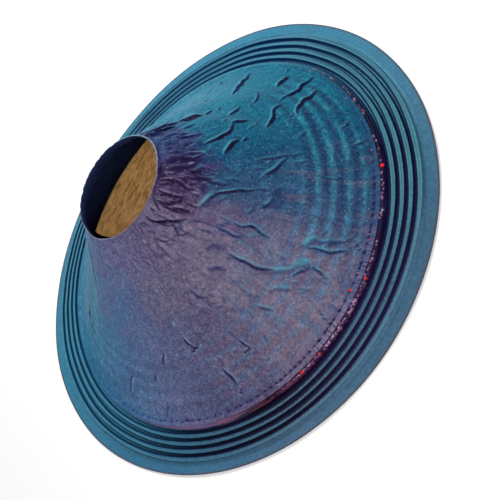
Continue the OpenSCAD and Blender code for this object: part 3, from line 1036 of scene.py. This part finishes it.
# Round the axis the cloth's colour is mostly painted light over its dye: teal where a cool light reached it
lip_dye_and_light = round_colour(
    turn, (0, 66, 120, 144), (60, 54, 122, 150), (110, 54, 106, 138), (150, 69, 100, 127), (200, 57, 94, 118),
    (230, 64, 114, 141), (255, 60, 124, 152), (280, 54, 124, 154), (300, 56, 130, 158),
    (330, 62, 130, 158),
)
ridge_dye_and_light = round_colour(
    turn, (0, 68, 122, 148), (60, 56, 118, 144), (90, 54, 110, 138), (120, 56, 104, 132), (150, 76, 104, 128),
    (180, 68, 100, 126), (200, 56, 100, 120), (220, 48, 102, 118), (240, 52, 98, 120), (260, 46, 94, 114),
    (280, 64, 120, 146), (300, 60, 122, 150),
)
line_highlight = round_colour(
    turn,
    (0, 92, 156, 180), (60, 80, 150, 172), (120, 84, 142, 166), (160, 98, 136, 156), (200, 90, 146, 162),
    (225, 98, 164, 174), (260, 94, 160, 178), (300, 88, 158, 182),
)
# Painted shade: the colour of the cloth where it is not lit
groove_shade = round_colour(
    turn, (0, 6, 42, 74), (60, 12, 60, 92), (95, 14, 58, 88), (120, 12, 20, 50), (150, 22, 18, 44),
    (180, 34, 28, 70), (200, 26, 26, 64), (220, 20, 24, 62), (240, 18, 50, 84), (260, 12, 44, 84),
    (280, 8, 54, 94), (300, 2, 54, 96),
)
cloth_colour = mix(slope(radius, lip_in_r - 0.5, lip_in_r - 2.0), lip_dye_and_light, ridge_dye_and_light)
# Painted light lifts the shaded outer flank of the first pleat on the near side
lit_foot = window(radius, lip_in_r - 2.4, lip_in_r - 1.4, lip_in_r - 0.2, lip_in_r + 1.6)
cloth_colour = stain(cloth_colour, ((82, 120, 148), window(bearing, 145, 165, 195, 210), lit_foot))
# Painted highlight lines along the ridges and in some grooves
cloth_colour = mix(mark(tree, "bright"), cloth_colour, line_highlight)
cloth_colour = toned(toned(cloth_colour, mottle["tone"]), scaled(weave["height"], 0.14, 0.86))
frayed = calc("SUBTRACT", noise(put(tree, "TexCoord").outputs["Object"], 1000.0, 2.0), 0.5)
rubbed = slope(scaled(frayed, 0.9, mark(tree, "rubbed")), 0.1, 0.9)
cloth_colour = stain(
    mix(rubbed, groove_shade, cloth_colour),
    # Pale flecks, partly painted glints
    ((170, 190, 205), mottle["specks"]),
    ((84, 78, 92), mark(tree, "cloth_cut")),
)
coat(tree, cloth_colour, times(mottle["tone"], 0.45), 0.05, weave["height"], strength=0.25, depth=0.0003)
surround.data.materials.append(doped_cloth)
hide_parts("cloth_surround")
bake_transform(surround)


# Cement: a film holds the flange to the land, and what was pressed out of it dried as a dark, glossy,
# lumpy bead along the edge, with a few clear red and pink drops.
bead_low, _ = (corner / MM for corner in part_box("edge_cement_bead"))
bead_steps = 1440
bead_bearing = stretch(0, 360, bead_steps)
bead_wave = waver(np.radians(bead_bearing), 0.05, range(5, 60, 3))
# Its section climbs off the flange, dips, and runs down over the turned edge of the cloth. It is narrower on
# the far side
bead_line = np.array([
    (-0.9, 1.35), (-0.6, 1.55), (-0.2, 1.4), (0.2, 1.1), (0.7, 1.05), (1.2, 1.15), (1.7, 1.05), (2.2, 0.6),
    (2.7, 0.1), (3.1, -0.6), (3.25, -1.3), (2.9, -1.2), (2.4, -0.2), (1.6, 0.05), (-0.2, 0.05),
])
bead_out, bead_up = bead_line[:, :1], bead_line[:, 1:]
swell = np.concatenate([np.sin(np.pi * np.linspace(0, 1, 11)) ** 1.5, np.zeros(4)])[:, None]
full_width = about(bead_bearing, 172, 66)
width_share = np.where(bead_out > 0, 0.6 + 0.4 * full_width, 1.0)
held = rise(bead_out, 2.2, 0)
bead_r = edge_r + bead_out * width_share + held * flange_reach(bead_bearing) + swell * bead_wave
# Small lumps stand along its inner side, pale pink partly in their own colour and partly as painted glints.
# On the near side the bead is strewn with pale painted glints, or smeared brown
lump_count = 64
lump_bearing, lump_out = drying.uniform(150, 275, lump_count), drying.uniform(-0.2, 1.4, lump_count)
lump_size, lump_hue = drying.uniform(0.35, 0.75, lump_count), drying.uniform(0.25, 1, lump_count) ** 0.6
apart = np.radians(bead_bearing - lump_bearing[:, None]) * edge_r
off_lump = apart[:, None] ** 2 + (bead_out - lump_out[:, None, None]) ** 2
each_lump = np.exp(-off_lump / lump_size[:, None, None] ** 2)
lumps, nearest_hue = each_lump.max(0), lump_hue[each_lump.argmax(0)]
bead_z = bead_low.z + bead_up + swell * bead_wave + 0.4 * swell * lumps
grit = drying.normal(0, 0.5, (len(bead_line), bead_steps))
crumbs = grit + np.roll(grit, 1, 1) + np.roll(grit, 1, 0)
on_top = swell > 0.2
glint_side = about(bead_bearing, 169, 18) * rise(bead_out, -0.1, 0.5) * np.maximum(rise(bead_out, 2.6, 1.4), 0.2)
bead_glints = glint_side * np.clip(0.15 + 0.9 * crumbs, 0, 1) * on_top
drawn_out = sum(np.roll(grit, k, 1) for k in range(20)) / 3
smeared = np.maximum(0.55 * about(bead_bearing, 145, 16), 0.9 * about(bead_bearing, 121, 20))
smeared = smeared * rise(bead_out, 2.7, 2.1) * np.clip(0.45 + 0.8 * drawn_out, 0, 1) * on_top
lumps_smear_glints = np.clip(np.maximum(lumps, smeared), bead_glints, 1)
hue = np.where(lumps > bead_glints, nearest_hue, np.clip(0.4 + 0.45 * crumbs, 0.25, 1))
hue = np.where(smeared > np.maximum(bead_glints, lumps), 0.05, hue)
bead = ring_piece("cement_bead", around(bead_r, bead_z, bead_bearing), {"lump": lumps_smear_glints, "lump_hue": hue})

# Each drop has its bearing, radius and half-width
red_places = [
    (157, 154.2, 1.3), (163.5, 154.4, 0.9), (181, 147.6, 1.1), (185, 154.3, 1.2), (215.5, 154.4, 1.6),
    (195, 147.6, 0.7),
]
pink_places = [
    (167.1, 147.2, 0.8), (169.7, 148.1, 0.6), (184.7, 148.9, 0.6), (185.8, 147.8, 0.7), (223.5, 153.8, 0.9),
    (240, 153.2, 1.1), (221.5, 148.6, 0.7), (242.5, 149.2, 0.7), (261.5, 151.2, 0.7),
]


def drop_surface(bearing, r, size):
    """A drop on the rear of the flange: the upper half of a flattened ball, on a grid of ring and turn."""
    ring, turn = np.meshgrid(np.linspace(0, 1, 7), np.radians(np.arange(0, 360, 24)), indexing="ij")
    foot = bead_low.z + 1.1 if r > bend_r + 3 else flange_z - 0.2
    local_r = r + size * ring * np.cos(turn)
    local_b = bearing + np.degrees(size * ring * np.sin(turn) / r)
    return around(local_r, foot + 0.6 * size * np.sqrt(1 - ring**2), local_b)


drop_domes = np.stack([drop_surface(*place) for place in red_places + pink_places])
domes, rings, turns = drop_domes.shape[:3]
spot = np.arange(rings * turns).reshape(rings, turns)
upper, lower = spot[:-1], spot[1:]
dome_faces = np.stack([upper, lower, np.roll(lower, -1, 1), np.roll(upper, -1, 1)], -1).reshape(-1, 4)
drop_faces = (dome_faces + np.arange(domes)[:, None, None] * spot.size).reshape(-1, 4).tolist()
foot_ring = spot[-1, ::-1]
drop_faces += (foot_ring + np.arange(domes)[:, None] * spot.size).tolist()
drop_mesh = bpy.data.meshes.new("cement_drops")
drop_mesh.from_pydata((drop_domes.reshape(-1, 3) * MM).tolist(), [], drop_faces)
drop_mesh.shade_smooth()
is_pink = np.arange(domes) >= len(red_places)
pink_faces = np.concatenate([np.repeat(is_pink, len(dome_faces)), is_pink])
drop_mesh.polygons.foreach_set("material_index", pink_faces.astype(np.int32))
drops = add_object("cement_drops", drop_mesh)

group, given = new_group("skin", scale=300.0)
puddle = noise(put(group, "TexCoord").outputs["Object"], given["scale"], 2.0)
end_group(group, height=puddle, tone=scaled(puddle, 0.8, 0.6))


def cement_material(name, colour, lumps=None):
    """Dried rubber cement: a glossy skin over a colour that varies with its depth.

    With lumps, the colour is a list of (bearing, red, green, blue) stops, and the lumps are the colours that
    their hue runs through.
    """
    material = new_material(name)
    tree = material.node_tree
    skin = place_group(tree, "skin", scale=240.0)
    base = round_colour(place_group(tree, "compass")["turn"], *colour) if lumps else dye(*colour)
    shown = toned(base, skin["tone"])
    if lumps:
        hues = ramp(mark(tree, "lump_hue"), [(k / (len(lumps) - 1), dye(*c)) for k, c in enumerate(lumps)])
        shown = mix(times(mark(tree, "lump"), 0.9), shown, hues)
    coat(tree, shown, 0.35, 0.03, skin["height"], strength=0.3, depth=0.0005)
    return material


# The cement is near black on the near side; its teal on the far side and the left is painted light, as on the
# paper
bead_colour = (
    (0, 58, 112, 140), (60, 52, 108, 140), (95, 62, 92, 130), (126, 82, 82, 118), (141, 18, 9, 28),
    (168, 40, 18, 50), (188, 32, 18, 54), (205, 22, 16, 50), (222, 14, 12, 40), (238, 10, 18, 46),
    (252, 34, 60, 86), (264, 54, 96, 120), (280, 60, 116, 142), (310, 56, 116, 144),
)
lump_colours = [(136, 88, 100), (172, 78, 132), (172, 122, 172), (214, 196, 220)]
bead.data.materials.append(cement_material("dark_cement", bead_colour, lump_colours))
drop_mesh.materials.append(cement_material("red_cement", (224, 44, 44)))
drop_mesh.materials.append(cement_material("pink_cement", (178, 100, 144)))
film = frame["nodes"]["edge_cement_film"]
film.data.materials.clear()
film.data.materials.append(cement_material("film_cement", (40, 24, 44)))
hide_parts("edge_cement_bead")
for piece in (bead, drops):
    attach(piece, "cone")
